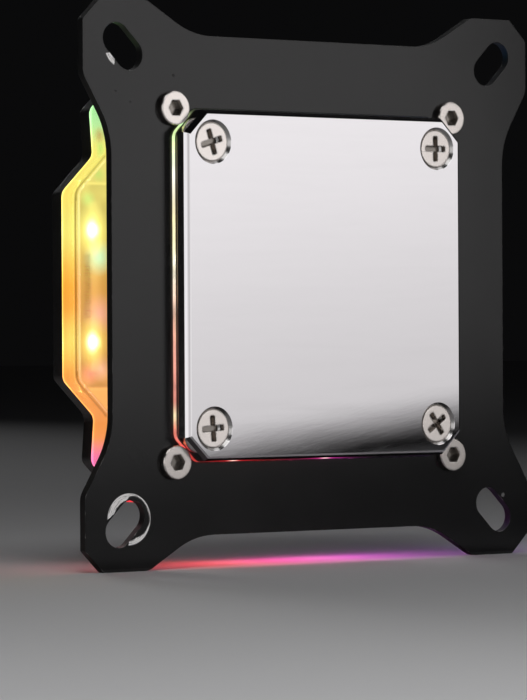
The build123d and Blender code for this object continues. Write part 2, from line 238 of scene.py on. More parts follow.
def new_group(name, inputs, outputs):
    """An empty shader node group with named sockets, its graph, its inputs and its output node."""
    tree = bpy.data.node_groups.new(name, "ShaderNodeTree")
    for socket, kind in inputs.items():
        tree.interface.new_socket(socket, in_out="INPUT", socket_type=kind)
    for socket, kind in outputs.items():
        tree.interface.new_socket(socket, in_out="OUTPUT", socket_type=kind)
    graph = Graph(tree)
    return tree, graph, graph.node("NodeGroupInput").outputs, graph.node("NodeGroupOutput").inputs


def new_finish(name, values):
    """A material with a Principled BSDF, its graph and that shader's inputs, with the plain values set."""
    finish = bpy.data.materials.new(name)
    finish.use_nodes = True
    graph = Graph(finish.node_tree)
    shader = finish.node_tree.nodes["Principled BSDF"].inputs
    for socket, value in values.items():
        shader[socket].default_value = value
    return finish, graph, shader


def dress(finish, *nodes):
    """Puts a finish on CAD nodes or new pieces."""
    for name in nodes:
        piece = bpy.data.objects[name]
        piece.data.materials.clear()
        piece.data.materials.append(finish)


def shaded(colour, factor):
    """A colour made darker or lighter."""
    return tuple(part * factor for part in colour)


def on_face(centre):
    """A place across and up, as a point with no depth."""
    return (centre[0], 0.0, centre[1])


# Effects that several finishes share

VALUE, COLOUR, PLACE = "NodeSocketFloat", "NodeSocketColor", "NodeSocketVector"


def grain_group():
    """Fine speckle of a moulded, coated or blasted surface: a height and a roughness."""
    inputs = {"Place": PLACE, "Scale": VALUE, "Low": VALUE, "High": VALUE}
    tree, g, given, out = new_group("fine_grain", inputs, {"Height": VALUE, "Roughness": VALUE})
    speckle = g.noise(given["Place"], given["Scale"], 2.0, 0.6)
    cloud = g.noise(given["Place"], 0.09, 3.0, 0.6)
    mixed = g.add(g.times(speckle, 0.45), g.times(cloud, 0.55))
    g.feed(out["Height"], speckle)
    parts = {"Value": mixed, "From Min": 0.3, "From Max": 0.7}
    parts.update({"To Min": given["Low"], "To Max": given["High"]})
    g.feed(out["Roughness"], g.node("ShaderNodeMapRange", parts, clamp=True).outputs["Result"])
    return tree


def scratch_group():
    """Thin scratches along X, sparse and broken, as a mask."""
    inputs = {"Place": PLACE, "Length": VALUE, "Density": VALUE, "Share": VALUE}
    tree, g, given, out = new_group("hair_scratches", inputs, {"Mask": VALUE})
    axis = g.axes(given["Place"])
    run = g.math("DIVIDE", axis["X"], given["Length"])
    across = g.times(axis["Z"], given["Density"])
    lines = g.noise(g.join(run, axis["Y"], across), 1.0, 2.0, 0.5)
    broken = g.fade(g.noise(given["Place"], 0.12, 2.0), 0.45, 0.62)
    edge = g.minus(0.78, g.times(given["Share"], 0.2))
    cut = g.fade(lines, edge, g.add(edge, 0.05))
    g.feed(out["Mask"], g.times(cut, broken))
    return tree


def spot_group():
    """A soft round spot with a ragged edge, as a mask."""
    inputs = {"Place": PLACE, "Centre": PLACE, "Radius": VALUE, "Edge": VALUE, "Ragged": VALUE}
    tree, g, given, out = new_group("ragged_spot", inputs, {"Mask": VALUE})
    rough = g.minus(g.noise(given["Place"], 2.6, 4.0, 0.65), 0.5)
    away = g.vector("DISTANCE", given["Place"], given["Centre"])
    away = g.add(away, g.times(rough, given["Ragged"]))
    inner = g.minus(given["Radius"], given["Edge"])
    parts = {"Value": away, "From Min": inner, "From Max": given["Radius"], "To Min": 1.0, "To Max": 0.0}
    g.feed(out["Mask"], g.node("ShaderNodeMapRange", parts, clamp=True).outputs["Result"])
    return tree


# The settings that give the light's hue round the block, by share of a turn from straight right
GLOW_STOPS = [
    (0.0, "glow_right"), (0.125, "glow_top_right"), (0.25, "glow_top"), (0.375, "glow_top_left"),
    (0.397, "glow_corner"), (0.408, "glow_left_high"), (0.465, "glow_left"), (0.5, "glow_left_low"),
    (0.597, "glow_left_foot"), (0.607, "glow_bottom_left"), (0.64, "glow_bottom"), (0.70, "glow_bottom"),
    (0.76, "glow_bottom_right"), (0.88, "glow_right_foot"), (1.0, "glow_right"),
]
# Hue of the lamps themselves and brightness of their light, by the same share
LAMP_HUES = [
    (0.0, (0.55, 0.5, 1.0)), (0.25, (0.45, 1.0, 0.9)), (0.42, (1.0, 1.0, 0.24)), (0.58, (1.0, 0.76, 0.13)),
    (0.7, (1.0, 0.22, 0.16)), (0.8, (1.0, 0.25, 0.6)), (1.0, (0.55, 0.5, 1.0)),
]
LAMP_LEVELS = [
    (0.0, 0.8), (0.14, 0.6), (0.25, 0.5), (0.36, 0.8), (0.4, 1.0), (0.6, 1.0), (0.66, 1.0), (0.8, 1.0),
    (1.0, 0.8),
]


def rainbow_group(look):
    """Hue and level of the lamps' light round the block, and how far a place lies out and along a side."""
    outputs = {"Hue": COLOUR, "Lamp Hue": COLOUR, "Level": VALUE, "Outward": VALUE, "Along": VALUE}
    tree, g, given, out = new_group("lamp_rainbow", {"Place": PLACE}, outputs)
    axis = g.axes(given["Place"])
    share = g.math("FRACT", g.add(g.share_of_turn(axis["X"], axis["Z"]), 1.0))
    g.feed(out["Hue"], g.ramp(share, [(stop, tuple(getattr(look, name))) for stop, name in GLOW_STOPS]))
    g.feed(out["Lamp Hue"], g.ramp(share, LAMP_HUES))
    g.feed(out["Level"], g.ramp(share, [(stop, (level,) * 3) for stop, level in LAMP_LEVELS]))
    wide = g.math("ABSOLUTE", axis["X"])
    tall = g.math("ABSOLUTE", axis["Z"])
    g.feed(out["Outward"], g.most(wide, tall))
    g.feed(out["Along"], g.math("MINIMUM", wide, tall))
    return tree


def shared(name, make, *values):
    """A shared effect, made the first time that it is asked for."""
    return bpy.data.node_groups.get(name) or make(*values)


def grain(g, place, scale, low, high):
    parts = {"Place": place, "Scale": scale, "Low": low, "High": high}
    return g.group(shared("fine_grain", grain_group), parts)


def scratches(g, place, length, density, share):
    parts = {"Place": place, "Length": length, "Density": density, "Share": share}
    return g.group(shared("hair_scratches", scratch_group), parts)["Mask"]


def spot(g, place, centre, radius, edge, ragged):
    parts = {"Place": place, "Centre": centre, "Radius": radius, "Edge": edge, "Ragged": ragged}
    return g.group(shared("ragged_spot", spot_group), parts)["Mask"]


def rainbow(g, place, look):
    return g.group(shared("lamp_rainbow", rainbow_group, look), {"Place": place})


def plain_finish(node, name, colour, low, high, scale, metal=0.0):
    """A finish of one colour with fine grain, for a small or inner piece."""
    finish, g, shader = new_finish(name, {"Metallic": metal})
    speckle = grain(g, g.millimetres(), scale, low, high)
    lighter = [min(1.0, part) for part in shaded(colour, 1.25)]
    g.feed(shader["Base Color"], g.blend(speckle["Height"], colour, lighter))
    g.feed(shader["Roughness"], speckle["Roughness"])
    g.feed(shader["Normal"], g.bumped(speckle["Height"], 0.3))
    dress(finish, node)


def colour_value(name, colour, words):
    return bpy.props.FloatVectorProperty(
        name=name, description=words, default=colour, size=3, min=0.0, max=4.0, subtype="COLOR")


def angle_value(name, degrees, words):
    return bpy.props.FloatProperty(
        name=name, description=words, default=math.radians(degrees), subtype="ANGLE", unit="ROTATION")


def amount_value(name, amount, words, largest):
    return bpy.props.FloatProperty(name=name, description=words, default=amount, min=0.0, max=largest)


class BlockFinishes(bpy.types.PropertyGroup):
    """Colours and gloss of the block's pieces."""

    nickel: colour_value("Nickel", (0.83, 0.812, 0.83), "Colour of the mirror plate")
    nickel_haze: bpy.props.FloatProperty(
        name="Nickel haze", description="Roughness of the cleanest part of the plate", default=0.025,
        min=0.0, max=1.0, subtype="FACTOR")
    screw: colour_value("Screws", (0.95, 0.885, 0.84), "Colour of the screws")
    coat: colour_value("Coat", (0.011, 0.011, 0.0115), "Colour of the bracket's black coat")
    bare: colour_value("Bare metal", (0.97, 0.955, 0.94), "Colour of the metal where the coat is worn off")
    cover: colour_value("Cover", (0.021, 0.021, 0.0225), "Colour of the back cover")
    acrylic: colour_value("Acrylic", (0.9, 0.92, 0.92), "Tint of the clear body")
    glow: amount_value("Glow", 1.0, "Strength of the light in the clear body", 20.0)
    lamp_glow: amount_value("Lamp glow", 1.0, "Strength of the lamps' own light", 100.0)
    glow_corner: colour_value("Corner", (0.50, 0.96, 0.40), "Light just below the top left corner")
    glow_left_high: colour_value("Left, high", (0.93, 0.84, 0.18), "Light high on the left wing")
    glow_left: colour_value("Left", (1.0, 0.76, 0.13), "Light beside the left wing's upper lamp")
    glow_left_low: colour_value("Left, low", (1.0, 0.42, 0.04), "Light low on the left wing")
    glow_left_foot: colour_value("Left foot", (0.99, 0.34, 0.08), "Light at the foot of the left wing")
    glow_bottom_left: colour_value("Bottom left", (0.92, 0.17, 0.40), "Light at the bottom left corner")
    glow_bottom: colour_value("Bottom", (1.0, 0.015, 0.03), "Light in the bottom wing")
    glow_bottom_right: colour_value("Bottom right", (0.88, 0.035, 0.45), "Light right of the bottom wing")
    glow_right_foot: colour_value("Right foot", (0.50, 0.08, 0.85), "Light at the foot of the right wing")
    glow_right: colour_value("Right", (0.20, 0.14, 1.0), "Light in the right wing")
    glow_top_right: colour_value("Top right", (0.06, 0.38, 1.0), "Light at the top right corner")
    glow_top: colour_value("Top", (0.08, 0.85, 0.55), "Light in the top wing")
    glow_top_left: colour_value("Top left", (0.40, 1.0, 0.38), "Light at the top left corner")


class BlockStudio(bpy.types.PropertyGroup):
    """Camera, floor and lights."""

    camera_place: bpy.props.FloatVectorProperty(
        name="Camera place", description="Where the camera stands", size=3, subtype="TRANSLATION",
        unit="LENGTH", default=(-0.390236, -0.513023, -0.008574))
    camera_yaw: angle_value("Yaw", 36.2915, "Turn of the camera to the right of straight on")
    camera_pitch: angle_value("Pitch", -0.18964, "Tilt of the camera above level")
    camera_roll: angle_value("Roll", -0.29962, "Lean of the camera")
    lens: bpy.props.FloatProperty(
        name="Lens", description="Focal length in millimetres on a 36 mm frame", default=198.003,
        min=10.0, max=400.0)
    floor: colour_value("Floor", (0.74, 0.74, 0.75), "Colour of the floor")
    lights: amount_value("Softboxes", 1.0, "Brightness of all the soft light panels", 50.0)
    top_light: amount_value("Top light", 0.8, "Power of the light overhead, in watts", 500.0)
    back_light: amount_value("Back light", 0.32, "Power of the light from behind, in watts", 500.0)


# Colours on the cold plate besides its nickel: a painted highlight on the bevel's slope, the painted shade
# of a dark line along it, and painted shade in the screws' seats
SLOPE_HIGHLIGHT = (0.97, 0.955, 0.97)
LINE_SHADE = (0.3, 0.29, 0.3)
SEAT_SHADE = (0.6, 0.59, 0.58)


class BLOCK_OT_plate(bpy.types.Operator):
    """Polishes the cold plate's nickel, with faint wiping marks"""

    bl_idname = "block.plate"
    bl_label = "Polish the cold plate"

    def execute(self, context):
        look = context.scene.block_finishes
        finish, g, shader = new_finish("polished_nickel", {"Metallic": 1.0})
        place = g.millimetres()
        smear = g.stretched_noise(place, (0.035, 0.2, 0.42), 4.0, 0.6)
        fine = g.stretched_noise(place, (0.06, 1.0, 3.2), 3.0, 0.6)
        hairs = scratches(g, place, 9.0, 5.0, 0.35)
        haze = g.fade(smear, 0.45, 0.75, look.nickel_haze, look.nickel_haze + 0.025)
        haze = g.add(haze, g.times(fine, 0.008), g.times(hairs, 0.08))
        tint = g.blend(g.fade(smear, 0.35, 0.75), look.nickel, shaded(look.nickel, 0.985))

        # The bevel's slope gets a painted highlight, with a fine painted dark line of shade along it
        size = g.vector("ABSOLUTE", g.flattened(place))
        wide = g.axes(size)["X"]
        slope_highlight = g.past(wide, PLATE_EDGE - BEVEL_WIDTH, 0.1)
        tint = g.blend(g.times(slope_highlight, 0.6), tint, SLOPE_HIGHLIGHT)
        shade_line = g.near(wide, PLATE_EDGE - BEVEL_SHADE_LINE, 0.22)
        tint = g.blend(g.times(shade_line, 0.55), tint, LINE_SHADE)

        # The screws' seats are turned, not polished, so they are rougher, and they are painted darker as
        # shade round the sunk heads
        from_screw = g.vector("DISTANCE", size, on_face((PLATE_SCREW, PLATE_SCREW)))
        sunk = g.past(g.axes(place)["Y"], 0.02, 0.06)
        seat = g.times(g.short_of(from_screw, SEAT_RADIUS - 0.08, 0.08), sunk)
        g.feed(shader["Base Color"], g.blend(seat, tint, SEAT_SHADE))
        g.feed(shader["Roughness"], g.add(haze, g.times(seat, 0.18)))

        # The face isn't quite flat, and was wiped askew
        waves = g.stretched_noise(place, (0.05, 0.05, 0.09), 1.0)
        wiped = g.stretched_noise(g.tilted(place, 12.0), (0.09, 0.1, 0.5), 4.0, 0.65)
        height = g.add(waves, g.times(hairs, -0.02), g.times(wiped, 0.17))
        g.feed(shader["Normal"], g.bumped(height, 0.012, 0.6 * MM))
        dress(finish, "cold_plate")
        return {"FINISHED"}


# How much each kind of screw head leans its normals upwards, as heads that aren't quite flat do
HEAD_LEANS = {"plate_screws": 0.036, "bracket_screws": 0.014}
# Colour of the painted shade deep in the screws' recesses
RECESS_SHADE = (0.30, 0.275, 0.25)


class BLOCK_OT_screws(bpy.types.Operator):
    """Gives both kinds of screws their satin nickel, with painted shade darkening the recesses"""

    bl_idname = "block.screws"
    bl_label = "Finish the screws"

    def execute(self, context):
        look = context.scene.block_finishes
        for node, lean in HEAD_LEANS.items():
            finish, g, shader = new_finish("satin_nickel_" + node, {"Metallic": 1.0})
            place = g.millimetres()
            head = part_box(node)[0].y / MM
            speckle = grain(g, place, 3.0, 0.19, 0.26)
            marks = scratches(g, place, 2.0, 9.0, 0.45)
            worn = g.times(g.noise(place, 1.1, 4.0), 0.5)
            tint = g.blend(worn, look.screw, shaded(look.screw, 0.88))
            # Painted shade: darker the deeper into the head's recess
            recess_shade = g.fade(g.axes(place)["Y"], head + 0.15, head + 1.2)
            g.feed(shader["Base Color"], g.blend(recess_shade, tint, RECESS_SHADE))
            g.feed(shader["Roughness"], g.add(speckle["Roughness"], g.times(marks, 0.15)))
            height = g.minus(speckle["Height"], marks)
            brushed = g.bumped(height, 0.015, normal=g.rounded(0.3))
            g.feed(shader["Normal"], g.vector("NORMALIZE", g.vector("ADD", brushed, (0.0, 0.0, lean))))
            dress(finish, node)
        return {"FINISHED"}


# Bare rings that washers rubbed round two slots: middle, radius, and inner radius by direction, from
# straight left round by the bottom in shares of a turn. RUB_REACH or more leaves the coat whole
RUB_REACH = 5.0
LOWER_RUB = ((-38.0, -38.02), 4.25, [
    (0.0, 5.0), (0.235, 5.0), (0.25, 3.65), (0.32, 3.35), (0.39, 3.75), (0.46, 4.0), (0.7, 4.02),
    (0.745, 3.7), (0.775, 3.1), (0.95, 3.1), (0.98, 3.6), (1.0, 4.3),
])
UPPER_RUB = ((-SLOT_MIDDLE, SLOT_MIDDLE), 3.55, [
    (0.0, 5.0), (0.045, 4.4), (0.07, 2.4), (0.145, 2.4), (0.165, 3.2), (0.18, 5.0), (1.0, 5.0),
])
# Chips in the coat: place across and up, and radius. Pits in it: the same, and their soft edge
CHIPS = [((40.9, -36.3), 0.45), ((-37.1, 36.4), 0.12), ((-36.4, 37.2), 0.1)]
PITS = [((-28.76, 34.37), 0.32, 0.15), ((-40.19, 31.45), 0.2, 0.12), ((-37.32, 29.77), 0.2, 0.12)]
PIT_BLACK = (0.001, 0.001, 0.001)
RUBBED_COAT = (0.3, 0.3, 0.3)


def rub_mark(g, flat, middle, radius, inner):
    """Bare metal inside a circle, down to an inner radius that changes by direction, with streaks."""
    away = g.vector("SUBTRACT", flat, on_face(middle))
    axis = g.axes(away)
    reach = g.vector("LENGTH", away)
    share = g.add(g.share_of_turn(axis["X"], axis["Z"]), 0.5)
    streaks = g.noise(g.join(g.times(share, 11.0), g.times(reach, 5.5), 0.0), 1.0, 4.0, 0.7)
    uneven = g.minus(streaks, 0.5)
    stops = [(direction, (size / RUB_REACH,) * 3) for direction, size in inner]
    limit = g.times(g.ramp(share, stops), RUB_REACH)
    inside = g.fade(g.minus(g.add(reach, g.times(uneven, 0.9)), limit), -0.08, 0.08)
    outside = g.short_of(g.add(reach, g.times(uneven, 0.25)), radius - 0.1, 0.15)
    return g.times(inside, outside, g.fade(streaks, 0.34, 0.5, 0.35, 1.0))


class BLOCK_OT_bracket(bpy.types.Operator):
    """Coats the bracket in satin black, worn to bare metal round its slots"""

    bl_idname = "block.bracket"
    bl_label = "Coat the bracket"

    def execute(self, context):
        look = context.scene.block_finishes
        finish, g, shader = new_finish("satin_black_coat", {"Specular IOR Level": 0.5})
        place = g.millimetres()
        flat = g.flattened(place)
        axis = g.axes(place)
        front = g.short_of(axis["Y"], BRACKET_FRONT + 0.02, 0.18)

        # Rub marks of the washers, small chips, and edges scuffed along the lower half
        marks = [rub_mark(g, flat, *LOWER_RUB), rub_mark(g, flat, *UPPER_RUB)]
        for centre, radius in CHIPS:
            marks.append(g.times(spot(g, flat, on_face(centre), radius, 0.2, 0.8), 0.3))
        rounded = g.rounded(0.18)
        straight = g.node("ShaderNodeNewGeometry").outputs["True Normal"]
        scuff = g.times(
            g.fade(g.vector("DOT_PRODUCT", rounded, straight), 0.985, 0.94),
            g.fade(g.noise(flat, 0.45, 5.0, 0.7), 0.5, 0.62),
            g.fade(axis["Z"], 10.0, -36.0, 0.15, 0.6))
        worn = g.times(g.most(*marks, scuff), front)
        pits = g.most(*[spot(g, flat, on_face(middle), radius, edge, 0.3) for middle, radius, edge in PITS])

        speckle = grain(g, place, 2.6, 0.15, 0.2)
        rubbed = scratches(g, flat, 6.0, 3.0, 0.2)
        coat = g.blend(g.fade(g.noise(flat, 0.05), 0.3, 0.7), look.coat, shaded(look.coat, 1.35))
        coat = g.blend(g.times(rubbed, 0.03), coat, RUBBED_COAT)
        coat = g.blend(pits, coat, PIT_BLACK)
        g.feed(shader["Base Color"], g.blend(worn, coat, look.bare))
        g.feed(shader["Metallic"], worn)

        # The cut edges are duller than the face
        cut = g.fade(g.math("ABSOLUTE", g.axes(straight)["Y"]), 0.4, 0.2)
        dull = g.add(g.times(rubbed, 0.06), g.times(g.most(pits, worn), 0.2), g.times(cut, 0.4))
        g.feed(shader["Roughness"], g.add(speckle["Roughness"], dull))

        # The washers left the bare rings slightly dished
        height = g.minus(speckle["Height"], g.times(g.add(worn, pits), 1.5))
        dished = g.join(0.0, 0.0, g.times(worn, 0.11))
        leaned = g.vector("ADD", g.bumped(height, 0.12, normal=rounded), dished)
        g.feed(shader["Normal"], g.vector("NORMALIZE", leaned))
        dress(finish, "mounting_bracket")
        return {"FINISHED"}


# Where the lamps' light is painted on the wing's front, as seen from outside, in millimetres from the
# middle, and the width of that painted light as a share of its length
LAMP_SEEN = 38.9
LAMP_SQUEEZE = 0.72
# The streaked strip between two lamps, in millimetres from the middle
STRIP_LINE = 39.7
# Where painted glints of the bottom wing's lamps sit under the plate, in millimetres across, and how far
# their painted sheen reaches
GLINTS = [(-17.7, 7.0), (1.4, 6.0)]
# Light of the line along the plate's left edge: height in millimetres, up to LINE_REACH, and colour
LINE_REACH = 30.0
LINE_HUES = [
    (-27.0, (0.80, 0.07, 0.06)), (-23.5, (0.85, 0.28, 0.20)), (-21.3, (1.0, 0.86, 0.52)),
    (-19.0, (0.88, 0.32, 0.25)), (-8.0, (0.86, 0.42, 0.33)), (2.0, (0.82, 0.74, 0.58)),
    (11.0, (1.0, 0.86, 0.50)), (18.0, (1.0, 0.97, 0.86)), (24.0, (0.75, 0.95, 0.45)),
]
# Stray colours of painted light above the left wing: place, share and colour
FLANK_STRAY_LIGHT = [
    ((-36.0, 15.3, 24.9), 0.6, (0.55, 0.26, 0.06)),
    ((-36.0, 15.2, 22.6), 0.6, (0.45, 0.92, 0.20)),
]
# Stray colours of painted light on the left wing's front, which also brighten it: middle across and up,
# radius and colour
PANE_STRAY_LIGHT = [
    ((-37.5, 4.7), 3.2, (0.58, 1.0, 0.60)),
    ((-37.4, -4.6), 3.6, (0.97, 0.44, 0.32)),
    ((-39.6, 14.2), 1.7, (0.55, 0.80, 0.20)),
    ((-37.4, 18.3), 1.5, (0.45, 0.60, 0.14)),
    ((-39.4, -14.4), 2.2, (0.98, 0.30, 0.18)),
    ((-37.2, -13.6), 2.4, (1.0, 0.52, 0.32)),
]
# Light in the wing's front, at a lamp's core, on the broken edge and in a glint
PANE_GLOW = (0.75, 0.72, 0.35)
CORE_GLOW = (1.0, 1.0, 0.92)
BREAK_GLOW = (1.0, 0.97, 0.7)
GLINT_GLOW = (1.0, 0.8, 0.7)
# Painted shade in the body's colour: where its fronts are painted dark, and along the painted dark line
# behind the broken edge
SHADED_ACRYLIC = (0.05, 0.04, 0.03)
SHADE_LINE_ACRYLIC = (0.11, 0.035, 0.004)


class BodyPoint:
    """Where a point of the clear body lies, in millimetres, and the lamps' light there."""

    def __init__(self, g, look):
        self.place = g.millimetres()
        axis = g.axes(self.place)
        self.across, self.depth, self.up = axis["X"], axis["Y"], axis["Z"]
        light = rainbow(g, self.place, look)
        self.hue, self.lamp_hue, self.level = light["Hue"], light["Lamp Hue"], light["Level"]
        self.outward, self.along = light["Outward"], light["Along"]
        self.total = g.add(self.outward, self.along)
        self.cloud = g.stretched_noise(self.place, (0.1, 0.3, 0.1), 2.0, 0.5)


def outer_skin(g, at):
    """The wings' edges and ends, the block's flanks and its cut corners: hue and brightness of the painted
    glow, and a painted dark line of shade.
    """
    skin = g.most(
        g.past(at.outward, WING_SKIN, 0.2),
        g.times(g.past(at.outward, FLANK_SKIN, 0.2), g.past(at.total, FLANK_CORNER, 0.2)),
        g.past(at.total, CORNER_SKIN, 0.4),
        g.times(g.past(at.outward, FLANK_SKIN - 0.2, 0.3), g.short_of(at.depth, WING_FRONT, 0.4)))
    hue = g.blend(g.times(g.near(at.along, LAMP_STEP, 6.5), 0.7), at.hue, at.lamp_hue)
    # Patches of painted stray light above the left wing
    for centre, share, colour in FLANK_STRAY_LIGHT:
        hue = g.blend(g.times(spot(g, at.place, centre, 1.6, 1.3, 0.5), share), hue, colour)
    # A painted dark line of shade along the wing, just behind its broken edge
    shade_line = g.times(
        g.near(at.depth, WING_FRONT + WING_BREAK + 0.5, 0.85),
        g.past(at.outward, WING_ROOT, 0.3),
        g.fade(at.along, 13.0, 18.0, 1.0, 0.5))
    under = g.times(g.fade(at.up, -30.0, -34.0), g.fade(at.along, 22.0, 16.0))
    shade = g.times(
        g.fade(at.cloud, 0.25, 0.75, 0.88, 1.04),
        g.unless(g.times(shade_line, 0.72)),
        g.fade(at.depth, BODY_FRONT, WING_FRONT - 3.0, 0.3, 1.0),
        g.add(g.times(under, 1.6), 1.0))
    # The broken edge before the dark line gets a paler painted highlight
    broken = g.times(
        g.near(at.depth, WING_FRONT + WING_BREAK / 2, WING_BREAK * 0.62),
        g.past(at.outward, WING_ROOT + 0.2, 0.3))
    hue = g.blend(g.times(broken, 0.2), hue, BREAK_GLOW)
    return hue, g.most(g.times(skin, shade), broken), shade_line


def wing_front(g, at):
    """The wing's front, with the lamps' light and highlights at the board's pocket painted on, and a
    streaked strip: mask, hue, brightness.
    """
    face = g.times(g.near(at.depth, WING_FRONT, 0.08), g.past(at.outward, WING_ROOT - 0.2, 0.3))
    # The lamps' light painted on the front: a halo round each lamp and a white core
    squeezed = g.join(at.outward, g.times(at.along, LAMP_SQUEEZE), 0.0)
    away = g.vector("DISTANCE", squeezed, (LAMP_SEEN, LAMP_STEP * LAMP_SQUEEZE, 0.0))
    halo = g.short_of(away, 0.7, 3.1)
    core = g.short_of(away, 0.0, 2.2)
    core = g.times(core, core)
    hue = g.blend(0.2, at.hue, PANE_GLOW)
    flat = g.flattened(at.place)
    # Patches of painted stray light on the wing's front
    stray_patches = []
    for centre, radius, colour in PANE_STRAY_LIGHT:
        stray_patches.append(spot(g, flat, on_face(centre), radius, radius, 0.6))
        hue = g.blend(stray_patches[-1], hue, colour)
    hue = g.blend(g.times(halo, 0.75), hue, at.lamp_hue)
    hue = g.blend(core, hue, CORE_GLOW)

    ticks = g.stretched_noise(at.place, (0.5, 0.0, 3.6), 2.0, 0.6)
    strip = g.times(
        g.near(at.outward, STRIP_LINE, 1.3),
        g.short_of(at.along, 4.5, 2.0),
        g.fade(ticks, 0.35, 0.6, 0.55, 0.25))
    bright = g.add(g.fade(at.cloud, 0.3, 0.7, 0.6, 0.76), g.times(halo, 0.35))
    bright = g.add(g.times(bright, g.unless(strip)), g.times(g.most(*stray_patches), 0.26))
    # Painted highlights past the ends of the board's pocket, stronger low down, and painted bright lines
    # along the pocket's ends
    past_board_highlight = g.times(g.past(at.along, BOARD_END - 0.2, 0.5), g.fade(at.up, -5.0, 5.0, 0.75, 0.15))
    bright = g.add(
        g.times(bright, g.add(past_board_highlight, 1.0)),
        g.times(g.near(at.along, BOARD_END, 0.4), 0.25),
        g.times(g.near(at.along, BOARD_END - 1.8, 2.4), 0.2),
        g.times(core, 1.4))
    return face, hue, bright


def boss_edge(g, at):
    """The boss's edge round the plate, with a painted glow on its wall and painted glints on its dim front:
    front, hue, brightness.
    """
    boss = g.times(
        g.most(g.past(at.outward, BOSS_SKIN, 0.05), g.past(at.total, BOSS_CORNER, 0.3)),
        g.short_of(at.depth, BODY_FRONT - 0.1, 0.1))
    # The wall's painted glow, with a painted glint 21.3 mm below the middle
    wall = g.times(
        boss,
        g.past(at.depth, BOSS_FRONT + 0.02, 0.18),
        g.fade(g.noise(at.place, 0.16, 2.0), 0.35, 0.65, 0.55, 1.0),
        g.add(g.fade(at.up, -10.0, 10.0, 1.1, 1.3), g.times(g.near(at.up, -21.3, 3.0), 0.5)))
    front = g.short_of(at.depth, BOSS_FRONT + 0.01, 0.04)
    glint = g.most(*[g.near(at.across, middle, 2.0) for middle, _ in GLINTS])
    sheen = g.most(*[g.near(at.across, middle, reach) for middle, reach in GLINTS])
    ledge = g.times(
        front,
        g.past(at.outward, BOSS_SKIN - 0.3, 0.15),
        g.add(glint, g.times(sheen, 0.5), 0.04),
        g.fade(at.up, -22.0, -27.5, 0.08, 1.0))
    share = g.math("DIVIDE", g.add(at.up, LINE_REACH), 2.0 * LINE_REACH)
    stops = [((height + LINE_REACH) / (2.0 * LINE_REACH), colour) for height, colour in LINE_HUES]
    hue = g.blend(g.fade(at.across, -22.0, -25.0), at.hue, g.ramp(share, stops))
    hue = g.blend(g.times(ledge, glint, 0.5), hue, GLINT_GLOW)
    far = g.times(g.fade(at.across, 4.0, 13.0), g.fade(at.up, -22.0, -27.5, 0.0, 0.97))
    bright = g.times(g.add(wall, ledge), g.fade(at.up, 26.5, 29.0, 1.0, 0.03), g.unless(far))
    return front, hue, bright


def port_threads(g, at):
    """Height of the screw threads in the two ports."""
    from_port = g.minus(at.across, g.times(g.math("SIGN", at.across), PORT_MIDDLE))
    radius = g.vector("LENGTH", g.join(from_port, at.up, 0.0))
    inside = g.times(g.short_of(radius, PORT_RADIUS + 0.05, 0.1), g.past(at.depth, PORT_FLOOR + 0.1, 0.3))
    turns = g.add(g.math("DIVIDE", at.depth, PORT_PITCH), g.share_of_turn(from_port, at.up))
    ridge = g.math("ABSOLUTE", g.minus(g.math("FRACT", turns), 0.5))
    return g.times(ridge, inside, 12.0)


class BLOCK_OT_body(bpy.types.Operator):
    """Makes the clear body of acrylic, with the light of the lamps in its wings painted into it as a glow
    """

    bl_idname = "block.body"
    bl_label = "Light the clear body"

    def execute(self, context):
        look = context.scene.block_finishes
        values = {"Transmission Weight": 0.88, "IOR": 1.49, "Emission Strength": look.glow}
        finish, g, shader = new_finish("lit_acrylic", values)
        at = BodyPoint(g, look)
        hue, bright, shade_line = outer_skin(g, at)
        face, face_hue, face_bright = wing_front(g, at)
        boss_front, boss_hue, boss_bright = boss_edge(g, at)

        hue = g.blend(face, hue, face_hue)
        hue = g.blend(g.short_of(at.depth, BODY_FRONT - 0.05, 0.05), hue, boss_hue)
        bright = g.add(g.times(bright, g.unless(face)), g.times(face, face_bright), boss_bright)
        ports = g.fade(at.depth, BODY_BACK + 0.5, BODY_BACK + 2.0, 0.0, 0.14)
        bright = g.add(g.times(bright, at.level), ports)
        g.feed(shader["Emission Color"], g.blend(1.0, hue, g.join(bright, bright, bright), "MULTIPLY"))

        # Painted shade: the boss's front and the wing's front are darkened, and so is the painted dark line
        front_shade = g.most(boss_front, g.times(face, 0.6))
        clear = g.blend(front_shade, look.acrylic, SHADED_ACRYLIC)
        g.feed(shader["Base Color"], g.blend(shade_line, clear, SHADE_LINE_ACRYLIC))

        # Tool marks all over and the screw threads in the ports
        speckle = grain(g, at.place, 1.6, 0.1, 0.26)
        g.feed(shader["Roughness"], g.add(speckle["Roughness"], g.times(face, 0.4)))
        height = g.add(port_threads(g, at), g.times(speckle["Height"], 0.3))
        g.feed(shader["Normal"], g.bumped(height, 0.5, 0.08 * MM))
        dress(finish, "acrylic_body")
        return {"FINISHED"}


# Two tones of the boards and of the lamps' cases
BOARD_TONES = (0.78, 0.78, 0.75), (0.86, 0.86, 0.84)
CASE_TONES = (0.85, 0.84, 0.78), (0.95, 0.94, 0.9)


